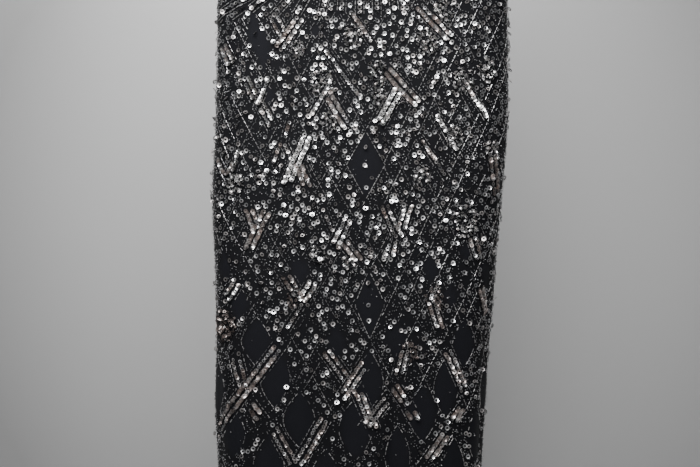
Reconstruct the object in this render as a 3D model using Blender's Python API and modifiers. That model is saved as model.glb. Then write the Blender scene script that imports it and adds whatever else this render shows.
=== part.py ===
# A straight beaded evening dress, sleeveless, hanging open and hollow from its shoulders.
# Z is up, the front faces -Y, and the origin lies midway between the two shoulder seams.
# All sizes are in metres and all angles are in degrees.

from collections import namedtuple
import math

import bmesh
import bpy
import numpy as np

DRESS_LENGTH = 1.360
WALL = 0.002
SEAM_GAP = 0.0004
SEAM_STRIP = 0.004
SEAM_EASE = 0.020

UNDERARM_DROP = 0.190
ARMHOLE_ROUNDNESS = 2.1
SHOULDER_TIP = 0.132
NECK_HALF_WIDTH = 0.088
FRONT_NECK_DROP = 0.150
BACK_NECK_DROP = 0.100
NECK_ROUNDNESS = 2.2
SHOULDER_SLOPE = 0.30
CROWN_HEIGHT = 0.150
CROWN_ROUNDNESS = 2.2
SHOULDER_FLAT = 0.003

HALF_COLUMNS = 17
SKIRT_ROWS = 28
ARMHOLE_ROWS = 4
STRAP_ROWS = 12
SECTION_SAMPLES = 361

CLOTH_COLOUR = (0.012, 0.013, 0.016, 1.0)
CLOTH_ROUGHNESS = 0.72

# The body's cross sections from the hem up. Each is a rounded oblong: half its width, its depth
# in front of and behind the side seams, how square its corners are, how far it hangs to one side
# and how far the skirt has turned about the vertical.
Section = namedtuple("Section", "height half_width front_depth back_depth squareness sway turn")
SECTIONS = (
    Section(-1.360, 0.1690, 0.066, 0.070, 2.5, -0.0150, 6.0),
    Section(-1.200, 0.1640, 0.060, 0.064, 2.7, -0.0150, 6.0),
    Section(-1.038, 0.1645, 0.058, 0.062, 2.9, -0.0148, 5.5),
    Section(-0.954, 0.1690, 0.059, 0.063, 3.0, -0.0145, 5.0),
    Section(-0.890, 0.1700, 0.060, 0.064, 3.0, -0.0118, 4.5),
    Section(-0.829, 0.1728, 0.061, 0.066, 3.0, -0.0092, 4.0),
    Section(-0.766, 0.1758, 0.062, 0.068, 3.0, -0.0082, 3.2),
    Section(-0.704, 0.1798, 0.063, 0.070, 3.0, -0.0068, 2.2),
    Section(-0.610, 0.1814, 0.064, 0.072, 3.0, -0.0010, 1.0),
    Section(-0.520, 0.1808, 0.064, 0.068, 2.9, 0.0, 0.3),
    Section(-0.450, 0.1798, 0.064, 0.063, 2.8, 0.0, 0.0),
    Section(-0.360, 0.1760, 0.068, 0.060, 2.7, 0.0, 0.0),
    Section(-0.270, 0.1750, 0.078, 0.066, 2.6, 0.0, 0.0),
    Section(-0.190, 0.1740, 0.080, 0.074, 2.6, 0.0, 0.0),
    Section(-0.110, 0.1700, 0.076, 0.076, 2.6, 0.0, 0.0),
    Section(0.000, 0.1640, 0.070, 0.074, 2.6, 0.0, 0.0),
)

# Long soft troughs in the hanging cloth, and ridges where the depth is negative. Each runs down
# to the hem from where it starts, at a distance from its panel's centre line, to the +X side.
Fold = namedtuple("Fold", "offset half_width depth starts grown")
FRONT_FOLDS = (
    Fold(-0.178, 0.014, 0.0035, -0.780, -0.980),
    Fold(-0.120, 0.022, -0.0030, -0.860, -1.250),
    Fold(-0.078, 0.016, 0.0040, -0.900, -1.200),
    Fold(-0.030, 0.018, 0.0060, -0.880, -1.240),
    Fold(0.014, 0.020, -0.0040, -0.900, -1.280),
    Fold(0.058, 0.016, 0.0120, -0.900, -1.220),
    Fold(0.104, 0.022, -0.0050, -0.920, -1.260),
    Fold(0.172, 0.014, 0.0040, -0.660, -0.900),
)
BACK_FOLDS = (
    Fold(-0.174, 0.014, 0.0035, -0.740, -0.960),
    Fold(-0.112, 0.020, -0.0040, -0.880, -1.240),
    Fold(-0.064, 0.017, 0.0100, -0.860, -1.220),
    Fold(-0.012, 0.020, -0.0040, -0.900, -1.260),
    Fold(0.040, 0.018, 0.0070, -0.840, -1.240),
    Fold(0.096, 0.020, 0.0040, -0.880, -1.280),
    Fold(0.176, 0.014, 0.0030, -0.700, -0.940),
)


def clear_scene():
    for old in list(bpy.data.objects):
        bpy.data.objects.remove(old, do_unlink=True)


def smooth_column(name, height):
    """Reads one column of the section table at a height, along a smooth curve through its rows."""
    heights = np.array([row.height for row in SECTIONS])
    values = np.array([getattr(row, name) for row in SECTIONS])
    slopes = np.gradient(values, heights)
    index = int(np.clip(np.searchsorted(heights, height) - 1, 0, len(heights) - 2))
    step = heights[index + 1] - heights[index]
    t = (height - heights[index]) / step
    return (
        (2 * t**3 - 3 * t**2 + 1) * values[index]
        + (t**3 - 2 * t**2 + t) * step * slopes[index]
        + (3 * t**2 - 2 * t**3) * values[index + 1]
        + (t**3 - t**2) * step * slopes[index + 1]
    )


def ease(low, high, value):
    t = np.clip((value - low) / (high - low), 0.0, 1.0)
    return t * t * (3.0 - 2.0 * t)


def crown_share(height):
    """How much of its depth the body keeps as it closes over the shoulders."""
    rise = max(height / CROWN_HEIGHT + 1.0, 0.0)
    return max(1.0 - rise**CROWN_ROUNDNESS, 0.0) ** (1.0 / CROWN_ROUNDNESS)


def quarter_section(height, depth_name):
    """Half of one panel's cross section, from its centre line to the side seam.

    Gives the points, their outward normals and the distance along the cloth to each."""
    half_width = smooth_column("half_width", height)
    depth = smooth_column(depth_name, height) * crown_share(height)
    squareness = smooth_column("squareness", height)
    angle = np.linspace(0.0, math.pi / 2.0, SECTION_SAMPLES)
    across = np.sin(angle)
    outward = np.cos(angle)
    reach = (across**squareness + outward**squareness) ** (-1.0 / squareness)
    flat = SHOULDER_FLAT * ease(-UNDERARM_DROP, 0.0, height)
    points = np.stack([half_width * reach * across, depth * reach * outward + flat], axis=1)
    steps = np.linalg.norm(np.diff(points, axis=0), axis=1)
    along = np.concatenate([[0.0], np.cumsum(steps)])
    tangents = np.gradient(points, along, axis=0)
    normals = np.stack([-tangents[:, 1], tangents[:, 0]], axis=1)
    return points, normals, along


def armhole_end(height, points, along):
    """The distance along the cloth at which a row ends, at the side seam or the armhole."""
    side = along[-1] - SEAM_GAP / 2.0
    if height <= -UNDERARM_DROP:
        return side
    tip = np.interp(SHOULDER_TIP, points[:, 0], along)
    down = min(-height / UNDERARM_DROP, 1.0)
    cut = (1.0 - down**ARMHOLE_ROUNDNESS) ** (1.0 / ARMHOLE_ROUNDNESS)
    return side - (side - tip) * cut


def neck_start(height, neck_drop, points, along):
    """The distance along the cloth at which a row starts, at the centre line or the neck."""
    if height <= -neck_drop:
        return 0.0
    down = min(-height / neck_drop, 1.0)
    edge = NECK_HALF_WIDTH * (1.0 - down**NECK_ROUNDNESS) ** (1.0 / NECK_ROUNDNESS)
    return np.interp(edge, points[:, 0], along)


def fold_depth(folds, offset, to_seam, height):
    """How far the folds push a point in. They die away at the side seam, which hangs flat."""
    depth = 0.0
    for fold in folds:
        growth = ease(fold.starts, fold.grown, height)
        depth += fold.depth * growth * math.exp(-(((offset - fold.offset) / fold.half_width) ** 2))
    return depth * ease(SEAM_STRIP, SEAM_STRIP + SEAM_EASE, to_seam)


def place(across, outward, height, facing):
    """Turns a point of a section into a point of the dress. Facing is -1 in front, 1 behind."""
    weight = ease(-UNDERARM_DROP, 0.0, height)
    slope_drop = SHOULDER_SLOPE * (across**2 - NECK_HALF_WIDTH**2) / (2.0 * NECK_HALF_WIDTH)
    turn = math.radians(smooth_column("turn", height))
    x = across * math.cos(turn) - facing * outward * math.sin(turn)
    y = across * math.sin(turn) + facing * outward * math.cos(turn)
    return (x + smooth_column("sway", height), y, height - slope_drop * weight)


def half_row(height, side, facing, neck_drop, depth_name, folds):
    """One row of points from the centre line or neck out to the side seam or armhole."""
    points, normals, along = quarter_section(height, depth_name)
    first = neck_start(height, neck_drop, points, along)
    last = armhole_end(height, points, along)
    row = []
    for distance in [*np.linspace(first, last - SEAM_STRIP, HALF_COLUMNS), last]:
        depth = fold_depth(folds, side * distance, along[-1] - distance, height)
        across = np.interp(distance, along, points[:, 0])
        outward = np.interp(distance, along, points[:, 1])
        across -= depth * np.interp(distance, along, normals[:, 0])
        outward -= depth * np.interp(distance, along, normals[:, 1])
        row.append(place(side * across, outward, height, facing))
    return row


def eased_heights(low, high, count):
    """Heights from low to high, closer together at both ends."""
    return [low + (high - low) * (1.0 - math.cos(math.pi * i / count)) / 2.0 for i in range(1, count + 1)]


def panel_heights(neck_drop):
    heights = list(np.linspace(-DRESS_LENGTH, -UNDERARM_DROP, SKIRT_ROWS + 1))
    heights += eased_heights(-UNDERARM_DROP, -neck_drop, ARMHOLE_ROWS)
    heights += eased_heights(-neck_drop, 0.0, STRAP_ROWS)
    return heights


def panel_mesh(name, facing, neck_drop, depth_name, folds):
    """The open outer surface of one panel: two halves that share the centre line below the neck."""
    mesh = bmesh.new()
    for side in (-1, 1):
        rows = []
        for height in panel_heights(neck_drop):
            rows.append(half_row(height, side, facing, neck_drop, depth_name, folds))
        # The last row crosses the flat top of the shoulder to its seam.
        rows.append([(x, facing * SEAM_GAP / 2.0, z) for x, y, z in rows[-1]])
        verts = [[mesh.verts.new(point) for point in row] for row in rows]
        for low, high in zip(verts, verts[1:]):
            for i in range(HALF_COLUMNS):
                corners = (low[i], low[i + 1], high[i + 1], high[i])
                mesh.faces.new(corners if side * facing < 0 else corners[::-1])
    bmesh.ops.remove_doubles(mesh, verts=mesh.verts, dist=0.00005)
    data = bpy.data.meshes.new(name)
    mesh.to_mesh(data)
    mesh.free()
    data.shade_smooth()
    return data


def cloth_material(name):
    material = bpy.data.materials.new(name)
    material.use_nodes = True
    shader = material.node_tree.nodes["Principled BSDF"]
    shader.inputs["Base Color"].default_value = CLOTH_COLOUR
    shader.inputs["Roughness"].default_value = CLOTH_ROUGHNESS
    return material


def add_panel(collection, name, facing, neck_drop, depth_name, folds):
    mesh = panel_mesh(name, facing, neck_drop, depth_name, folds)
    mesh.materials.append(cloth_material(name + "_cloth"))
    panel = bpy.data.objects.new(name, mesh)
    collection.objects.link(panel)
    wall = panel.modifiers.new("Cloth wall", "SOLIDIFY")
    wall.thickness = WALL
    wall.offset = -1.0
    wall.use_even_offset = True
    return panel


def main():
    clear_scene()
    dress = bpy.data.collections.new("Beaded dress")
    bpy.context.scene.collection.children.link(dress)
    add_panel(dress, "front_panel", -1, FRONT_NECK_DROP, "front_depth", FRONT_FOLDS)
    add_panel(dress, "back_panel", 1, BACK_NECK_DROP, "back_depth", BACK_FOLDS)


main()
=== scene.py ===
# %% [markdown]
# # A beaded evening dress
# The real dress is a straight tube of fine black cloth that hangs from two shoulder straps. Nearly
# all that is seen of it is beadwork: ring sequins, strips of overlapped sequins, and bugle beads
# laid in lines that cross to make long diamonds. This lesson dresses a plain model of the two
# cloth panels with a thin cloth shell and with every bead that is sewn on it.

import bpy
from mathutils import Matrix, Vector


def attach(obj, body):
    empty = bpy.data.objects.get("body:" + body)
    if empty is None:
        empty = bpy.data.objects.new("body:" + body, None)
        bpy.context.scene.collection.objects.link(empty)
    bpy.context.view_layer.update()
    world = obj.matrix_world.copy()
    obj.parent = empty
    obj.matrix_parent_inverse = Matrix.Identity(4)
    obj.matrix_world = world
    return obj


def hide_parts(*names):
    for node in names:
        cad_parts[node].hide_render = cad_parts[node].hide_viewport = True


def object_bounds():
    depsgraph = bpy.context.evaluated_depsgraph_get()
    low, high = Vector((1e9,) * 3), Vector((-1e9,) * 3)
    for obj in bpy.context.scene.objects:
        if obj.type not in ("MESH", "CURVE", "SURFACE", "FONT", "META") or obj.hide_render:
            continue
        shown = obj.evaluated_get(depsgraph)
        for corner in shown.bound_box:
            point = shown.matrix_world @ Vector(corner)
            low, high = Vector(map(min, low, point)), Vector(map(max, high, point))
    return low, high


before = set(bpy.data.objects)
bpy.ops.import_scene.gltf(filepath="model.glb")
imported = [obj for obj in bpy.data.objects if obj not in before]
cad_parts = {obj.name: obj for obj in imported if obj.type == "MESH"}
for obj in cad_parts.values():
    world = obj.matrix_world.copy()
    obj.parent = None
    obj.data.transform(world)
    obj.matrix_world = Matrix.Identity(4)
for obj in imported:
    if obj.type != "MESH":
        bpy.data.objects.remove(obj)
cad_low, cad_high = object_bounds()
print("frame box, metres:", [round(x, 3) for x in cad_low], [round(x, 3) for x in cad_high])

# %% Tools of the lesson
import math
from collections import namedtuple
from itertools import product

import bmesh
import bpy
import numpy as np
from mathutils import Matrix, Vector

luck = np.random.default_rng(1926)

# %% [markdown]
# ## The cut of the cloth
# The dress is two panels, front and back, that meet at side seams and at the shoulders. Cloth on
# a body is easiest to describe by its cross sections: one rounded oblong for each level, with its
# width, its depth and how square its corners are. The table runs from the hem up. A smooth curve
# through each column gives the sizes at any level between, so the shell can be as fine as wanted.

# %% Sizes of the cut, in metres and degrees
DRESS_LENGTH = -cad_low[2]
SEAM_GAP = 0.0004
SEAM_STRIP = 0.004
SEAM_EASE = 0.020
UNDERARM_DROP = 0.190
ARMHOLE_ROUNDNESS = 2.1
SHOULDER_TIP = 0.132
NECK_HALF_WIDTH = 0.088
NECK_DROP = {"front": 0.150, "back": 0.100}
NECK_ROUNDNESS = 2.2
SHOULDER_SLOPE = 0.30
CROWN_HEIGHT = 0.150
CROWN_ROUNDNESS = 2.2
SHOULDER_FLAT = 0.003
FACING = {"front": -1, "back": 1}

Section = namedtuple("Section", "height half_width front_depth back_depth squareness sway turn")
SECTIONS = [Section(*row) for row in (
    (-1.360, 0.1690, 0.066, 0.070, 2.5, -0.0150, 6.0),
    (-1.200, 0.1640, 0.060, 0.064, 2.7, -0.0150, 6.0),
    (-1.038, 0.1645, 0.058, 0.062, 2.9, -0.0148, 5.5),
    (-0.954, 0.1690, 0.059, 0.063, 3.0, -0.0145, 5.0),
    (-0.890, 0.1700, 0.060, 0.064, 3.0, -0.0118, 4.5),
    (-0.829, 0.1728, 0.061, 0.066, 3.0, -0.0092, 4.0),
    (-0.766, 0.1758, 0.062, 0.068, 3.0, -0.0082, 3.2),
    (-0.704, 0.1798, 0.063, 0.070, 3.0, -0.0068, 2.2),
    (-0.610, 0.1814, 0.064, 0.072, 3.0, -0.0010, 1.0),
    (-0.520, 0.1808, 0.064, 0.068, 2.9, 0.0, 0.3),
    (-0.450, 0.1798, 0.064, 0.063, 2.8, 0.0, 0.0),
    (-0.360, 0.1760, 0.068, 0.060, 2.7, 0.0, 0.0),
    (-0.270, 0.1750, 0.078, 0.066, 2.6, 0.0, 0.0),
    (-0.190, 0.1740, 0.080, 0.074, 2.6, 0.0, 0.0),
    (-0.110, 0.1700, 0.076, 0.076, 2.6, 0.0, 0.0),
    (0.000, 0.1640, 0.070, 0.074, 2.6, 0.0, 0.0),
)]

# %% [markdown]
# ## Folds
# Heavy beadwork pulls cloth straight, so this dress has few folds: long soft troughs that start
# below the hip and deepen towards the hem. They could be simulated, but a cloth simulation of
# stiff beaded cloth mostly hangs straight too, so each fold is listed instead: how far it lies
# from the panel's centre line, its half width, its depth, and where it starts and is full grown.
# The finer creases below them are only in this shell. A negative depth is a ridge.

# %% Folds and creases, in metres
Fold = namedtuple("Fold", "offset half_width depth starts grown")
FOLDS = {
    "front": [Fold(*row) for row in (
        (-0.178, 0.014, 0.0035, -0.780, -0.980), (-0.120, 0.022, -0.0030, -0.860, -1.250),
        (-0.078, 0.016, 0.0040, -0.900, -1.200), (-0.030, 0.018, 0.0060, -0.880, -1.240),
        (0.014, 0.020, -0.0040, -0.900, -1.280), (0.058, 0.016, 0.0120, -0.900, -1.220),
        (0.104, 0.022, -0.0050, -0.920, -1.260), (0.172, 0.014, 0.0040, -0.660, -0.900),
    )],
    "back": [Fold(*row) for row in (
        (-0.174, 0.014, 0.0035, -0.740, -0.960), (-0.112, 0.020, -0.0040, -0.880, -1.240),
        (-0.064, 0.017, 0.0100, -0.860, -1.220), (-0.012, 0.020, -0.0040, -0.900, -1.260),
        (0.040, 0.018, 0.0070, -0.840, -1.240), (0.096, 0.020, 0.0040, -0.880, -1.280),
        (0.176, 0.014, 0.0030, -0.700, -0.940),
    )],
}
CREASES = {
    "front": [Fold(*row) for row in (
        (-0.190, 0.006, 0.0012, -0.700, -0.900), (-0.150, 0.007, -0.0014, -0.820, -1.000),
        (-0.052, 0.007, 0.0024, -0.880, -0.980), (-0.009, 0.006, 0.0018, -0.900, -1.000),
        (0.046, 0.006, 0.0028, -0.880, -0.970), (0.071, 0.007, -0.0020, -0.890, -0.980),
        (0.133, 0.007, 0.0018, -0.840, -1.020), (0.188, 0.005, 0.0014, -0.560, -0.680),
    )],
    "back": [Fold(*row) for row in (
        (-0.186, 0.006, 0.0012, -0.620, -0.840), (-0.084, 0.006, -0.0012, -0.860, -0.980),
        (-0.044, 0.006, 0.0014, -0.900, -1.000), (0.022, 0.005, 0.0012, -0.880, -1.010),
        (0.068, 0.007, -0.0012, -0.900, -1.080), (0.140, 0.006, 0.0012, -0.800, -0.960),
        (0.190, 0.005, 0.0012, -0.640, -0.820),
    )],
}

# %% Reading the cut at any level
SECTION_HEIGHTS = np.array([row.height for row in SECTIONS])
QUARTER_STEPS = 361


def ease(low, high, value):
    t = np.clip((value - low) / (high - low), 0.0, 1.0)
    return t * t * (3.0 - 2.0 * t)


def smooth_column(name, height):
    """Reads one column of the section table at a height, along a smooth curve through its rows."""
    values = np.array([getattr(row, name) for row in SECTIONS])
    slopes = np.gradient(values, SECTION_HEIGHTS)
    index = int(np.clip(np.searchsorted(SECTION_HEIGHTS, height) - 1, 0, len(values) - 2))
    step = SECTION_HEIGHTS[index + 1] - SECTION_HEIGHTS[index]
    t = (height - SECTION_HEIGHTS[index]) / step
    return (
        (2 * t**3 - 3 * t**2 + 1) * values[index]
        + (t**3 - 2 * t**2 + t) * step * slopes[index]
        + (3 * t**2 - 2 * t**3) * values[index + 1]
        + (t**3 - t**2) * step * slopes[index + 1]
    )


def quarter_section(height, panel):
    """Half a panel's cross section: its points, their normals and the cloth's length to each."""
    rise = max(height / CROWN_HEIGHT + 1.0, 0.0)
    crown = max(1.0 - rise**CROWN_ROUNDNESS, 0.0) ** (1.0 / CROWN_ROUNDNESS)
    half_width = smooth_column("half_width", height)
    depth = smooth_column(panel + "_depth", height) * crown
    squareness = smooth_column("squareness", height)
    angle = np.linspace(0.0, math.pi / 2.0, QUARTER_STEPS)
    reach = (np.sin(angle) ** squareness + np.cos(angle) ** squareness) ** (-1.0 / squareness)
    flat = SHOULDER_FLAT * ease(-UNDERARM_DROP, 0.0, height)
    points = np.stack([half_width * reach * np.sin(angle), depth * reach * np.cos(angle) + flat], 1)
    along = np.concatenate([[0.0], np.cumsum(np.linalg.norm(np.diff(points, axis=0), axis=1))])
    tangents = np.gradient(points, along, axis=0)
    return points, np.stack([-tangents[:, 1], tangents[:, 0]], axis=1), along


def row_ends(height, panel, points, along):
    """Where a row of cloth starts and ends: centre line or neck, and side seam or armhole."""
    side = along[-1] - SEAM_GAP / 2.0
    first, last = 0.0, side
    if height > -UNDERARM_DROP:
        tip = np.interp(SHOULDER_TIP, points[:, 0], along)
        down = min(-height / UNDERARM_DROP, 1.0)
        last = side - (side - tip) * (1.0 - down**ARMHOLE_ROUNDNESS) ** (1.0 / ARMHOLE_ROUNDNESS)
    if height > -NECK_DROP[panel]:
        down = min(-height / NECK_DROP[panel], 1.0)
        edge = NECK_HALF_WIDTH * (1.0 - down**NECK_ROUNDNESS) ** (1.0 / NECK_ROUNDNESS)
        first = np.interp(edge, points[:, 0], along)
    return first, last


def fold_depth(panel, offsets, to_seam, height):
    depth = np.zeros_like(offsets)
    for fold in FOLDS[panel] + CREASES[panel]:
        growth = ease(fold.starts, fold.grown, height)
        depth += fold.depth * growth * np.exp(-(((offsets - fold.offset) / fold.half_width) ** 2))
    return depth * ease(SEAM_STRIP, SEAM_STRIP + SEAM_EASE, to_seam)


def cloth_row(height, panel, side, distances, section):
    """Points of the dress at distances along one row of cloth from the centre line."""
    points, normals, along = section
    facing = FACING[panel]
    depth = fold_depth(panel, side * distances, along[-1] - distances, height)
    across, outward = (
        np.interp(distances, along, points[:, i]) - depth * np.interp(distances, along, normals[:, i])
        for i in (0, 1)
    )
    across = side * across
    slope_drop = SHOULDER_SLOPE * (across**2 - NECK_HALF_WIDTH**2) / (2.0 * NECK_HALF_WIDTH)
    turn = math.radians(smooth_column("turn", height))
    x = across * math.cos(turn) - facing * outward * math.sin(turn) + smooth_column("sway", height)
    y = across * math.sin(turn) + facing * outward * math.cos(turn)
    z = height - slope_drop * ease(-UNDERARM_DROP, 0.0, height)
    return np.stack([x, y, z], axis=1)


print("half girth at the hip, metres:", round(quarter_section(-0.61, "front")[2][-1] * 2, 3))

# %% [markdown]
# ## A map of the cloth
# Beads are sewn to the cloth, so their places are easiest to give on the flat cloth: how far
# across from the centre line, and how far up. The map below measures the hanging panel once on a
# fine grid. Asked for any place on the flat cloth, it gives the point in space, the way out of the
# cloth and the two directions along it. Up to the underarm the upward measure is the height
# itself. Above it the measure follows the cloth as it rounds over the shoulder.

# %% The map of a panel
MAP_COLUMNS = 90
MAP_ROWS_BELOW = 280
MAP_ROWS_ABOVE = 90
PATTERN_SHIFT = (-0.93, -0.80, -0.66, -0.57), (0.017, 0.0125, 0.006, 0.0)


def level_heights(low, high, count):
    """Heights from low to high, closer together at both ends."""
    steps = np.arange(count + 1) / count
    return low + (high - low) * (1.0 - np.cos(math.pi * steps)) / 2.0


class ClothMap:
    def __init__(self, panel):
        self.panel = panel
        below = np.linspace(-DRESS_LENGTH, -UNDERARM_DROP, MAP_ROWS_BELOW + 1)
        self.heights = np.concatenate([below, level_heights(-UNDERARM_DROP, 0.0, MAP_ROWS_ABOVE)[1:]])
        shares = np.linspace(0.0, 1.0, MAP_COLUMNS)
        both, ends, sides = [], [], []
        for height in self.heights:
            section = quarter_section(height, panel)
            reach = section[2][-1]
            left, right = (cloth_row(height, panel, side, shares * reach, section) for side in (-1, 1))
            both.append(np.concatenate([left[:0:-1], right]))
            ends.append(row_ends(height, panel, section[0], section[2]))
            sides.append(reach)
        self.points, self.ends, self.sides = np.array(both), np.array(ends), np.array(sides)
        steps = np.linalg.norm(np.diff(self.points[:, int(MAP_COLUMNS * 1.5)], axis=0), axis=1)
        self.levels = self.heights.copy()
        for i in range(MAP_ROWS_BELOW, len(self.levels) - 1):
            self.levels[i + 1] = self.levels[i] + steps[i]
        across = np.gradient(self.points, axis=1)
        upward = np.gradient(self.points, axis=0)
        out = np.cross(across, upward) * -FACING[panel]
        self.across = across / np.linalg.norm(across, axis=2, keepdims=True)
        self.out = out / np.linalg.norm(out, axis=2, keepdims=True)
        self.top = self.levels[-1]

    def limits(self, level):
        """The first and last distance from the centre line where there is cloth, at each level."""
        return tuple(np.interp(level, self.levels, self.ends[:, i]) for i in (0, 1))

    def on_cloth(self, offset, level, margin):
        first, last = self.limits(level)
        inside = (np.abs(offset) < last - margin) & ((first == 0.0) | (np.abs(offset) > first + margin))
        return inside & (level < self.top - margin) & (level > -DRESS_LENGTH + margin)

    def read(self, grid, offset, level):
        row = np.interp(level, self.levels, np.arange(len(self.levels)))
        side = np.interp(level, self.levels, self.sides)
        column = (np.clip(offset / side, -1.0, 1.0) + 1.0) * (MAP_COLUMNS - 1)
        r = np.minimum(row.astype(int), grid.shape[0] - 2)
        c = np.minimum(column.astype(int), grid.shape[1] - 2)
        fr, fc = (row - r)[:, None], (column - c)[:, None]
        low = grid[r, c] * (1 - fc) + grid[r, c + 1] * fc
        high = grid[r + 1, c] * (1 - fc) + grid[r + 1, c + 1] * fc
        return low * (1 - fr) + high * fr

    def place(self, offset, level):
        """Points, directions across the cloth, directions up it and directions out of it.

        Low down the pattern's own centre line lies a little to one side, as the skirt has turned."""
        shift = np.interp(level, *PATTERN_SHIFT)
        side = np.interp(level, self.levels, self.sides)
        offset = offset - FACING[self.panel] * shift * (1.0 - (offset / side) ** 2)
        point = self.read(self.points, offset, level)
        out = self.read(self.out, offset, level)
        out /= np.linalg.norm(out, axis=1, keepdims=True)
        across = self.read(self.across, offset, level)
        across -= out * np.sum(across * out, axis=1, keepdims=True)
        across /= np.linalg.norm(across, axis=1, keepdims=True)
        return point, across, np.cross(out, across) * -FACING[self.panel], out


maps = {panel: ClothMap(panel) for panel in FACING}
print("cloth from hem to shoulder seam, metres:", round(maps["front"].top + DRESS_LENGTH, 3))

# %% [markdown]
# ## The pattern
# The pattern is charted on the flat cloth. Long slanted lines of bugles cross on the centre line
# and make diamonds. Some diamonds are left nearly plain, and lower down these clearings become
# taller and rounder, like leaves. The shells read this table too: their cloth is coloured a little
# paler there, and darker under the beadwork, partly for its black thread and partly as painted
# shade of the beads.

# %% The lattice of slanted lines
LATTICE_PERIOD = 0.1707
LATTICE_LEVELS = (-0.6215, -0.7041, -0.7539)
LATTICE_SLOPE = 1.9
LATTICE_ENDS = -0.965

# %% Plain diamonds and leaves: place, half sizes and roundness, and single rings on the centre line
Clearing = namedtuple("Clearing", "offset level half_width half_height roundness")
CLEARINGS = [Clearing(*row) for row in (
    (-0.134, -0.500, 0.010, 0.024, 0.3), (-0.128, -0.512, 0.011, 0.022, 0.3),
    (-0.122, -0.524, 0.010, 0.024, 0.3), (-0.116, -0.578, 0.008, 0.012, 0.5),
    (-0.058, -0.499, 0.006, 0.010, 0.5), (0.000, -0.6628, 0.0235, 0.0415, 0.0),
    (-0.082, -0.790, 0.012, 0.018, 0.2), (0.078, -0.788, 0.012, 0.018, 0.2),
    (0.127, -0.767, 0.010, 0.011, 0.3), (-0.173, -0.788, 0.011, 0.018, 0.2),
    (0.158, -0.793, 0.011, 0.018, 0.2), (0.000, -0.8325, 0.0180, 0.042, 0.1),
    (-0.154, -0.832, 0.012, 0.022, 0.3), (0.104, -0.822, 0.010, 0.014, 0.3),
    (-0.132, -0.877, 0.017, 0.030, 0.5), (0.032, -0.874, 0.014, 0.022, 0.4),
    (-0.040, -0.880, 0.012, 0.020, 0.4), (0.124, -0.880, 0.017, 0.032, 0.5),
    (0.000, -0.928, 0.017, 0.040, 0.7), (-0.110, -0.922, 0.017, 0.036, 0.7),
    (0.100, -0.934, 0.018, 0.040, 0.7), (-0.184, -0.938, 0.015, 0.034, 0.7),
    (0.172, -0.940, 0.015, 0.034, 0.7), (-0.082, -0.972, 0.018, 0.034, 0.8),
    (0.068, -0.966, 0.019, 0.036, 0.8), (-0.016, -0.984, 0.020, 0.038, 0.9),
    (-0.158, -0.990, 0.016, 0.032, 0.9), (0.150, -0.996, 0.016, 0.036, 0.9),
    (0.036, -1.020, 0.016, 0.040, 1.0), (-0.116, -1.030, 0.017, 0.040, 1.0),
    (0.112, -1.036, 0.017, 0.040, 1.0), (-0.052, -1.050, 0.018, 0.042, 1.0),
    (-0.004, -1.092, 0.019, 0.044, 1.0), (-0.172, -1.066, 0.016, 0.040, 1.0),
    (0.170, -1.070, 0.016, 0.040, 1.0),
)]
LONE_RINGS = (-0.641, -0.663, -0.690, -0.806, -0.833, -0.852)
LOW_LEAF = Clearing(0.0, -1.105, 0.019, 0.046, 1.0)
LOW_LEAF_ROW_STEP = 0.052
LOW_LEAF_SPACING = 0.096
LEAF_WIDE, LEAF_TALL, LEAF_GAP = 1.9, 3.6, 0.0125
FAR_AWAY = 9.0
PANEL_HALF_GIRTH = 0.215

# %% Find the clearings
def clearing_shares(offsets, levels, clearings):
    """How near places are to the nearest clearing's outline: under 1 is inside it."""
    nearest = np.full(np.shape(offsets), FAR_AWAY)
    for clearing in clearings:
        rise = np.minimum(np.abs(levels - clearing.level) / clearing.half_height, 1.0)
        width = clearing.half_width * (1.0 - rise ** (1.0 + clearing.roundness)) + 1e-6
        share = np.where(rise < 1.0, np.abs(offsets - clearing.offset) / width, FAR_AWAY)
        nearest = np.minimum(nearest, share)
    return nearest


def all_clearings():
    """The charted clearings, and staggered rows of leaves from there down to the hem."""
    found = list(CLEARINGS)
    level, odd = LOW_LEAF.level, 0
    while level > -DRESS_LENGTH + LOW_LEAF.half_height:
        for step in range(-2, 3):
            offset = (step + 0.5 * odd) * LOW_LEAF_SPACING + 0.004 * math.sin(7 * level + 2 * step)
            gaps = [math.hypot((offset - c.offset) / LEAF_WIDE, (level - c.level) / LEAF_TALL) for c in found]
            if min(gaps) > LEAF_GAP:
                found.append(LOW_LEAF._replace(offset=offset, level=level))
        level -= LOW_LEAF_ROW_STEP
        odd = 1 - odd
    return found


clearings = all_clearings()
print("clearings:", len(clearings))


def plainness(panel, offsets, level):
    """1 in the middle of a plain diamond or leaf, and 0 where beads are sewn."""
    shift = np.interp(level, *PATTERN_SHIFT) * (1.0 - (offsets / PANEL_HALF_GIRTH) ** 2)
    places = (offsets + FACING[panel] * shift) * -FACING[panel]
    return 1.0 - ease(0.65, 1.15, clearing_shares(places, level, clearings))


# %% [markdown]
# ## The cloth shells
# Each half panel starts as a flat grid from `bmesh.ops.create_grid`, and every point of the grid
# is then moved to its place on the hanging cloth. The grid's own rows and columns stay the
# cloth's grain, so they also make the UV map, in metres, that the weave follows. The halves are
# welded at the centre line below the neck, and Solidify gives the shell its thickness inwards.

# %% Shape the shells
SHELL_COLUMNS = 42
SHELL_ROWS_BELOW = 128
SHELL_ROWS_ARM = 8
SHELL_ROWS_STRAP = 26
SHELL_THICKNESS = 0.0009
SHELL_SETBACK = 0.0001
WELD = 0.00005


def finished_mesh(name, mesh, smooth=False):
    data = bpy.data.meshes.new(name)
    mesh.to_mesh(data)
    mesh.free()
    if smooth:
        data.shade_smooth()
    return data


def linked_object(name, data):
    made = bpy.data.objects.new(name, data)
    bpy.context.scene.collection.objects.link(made)
    return made


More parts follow.
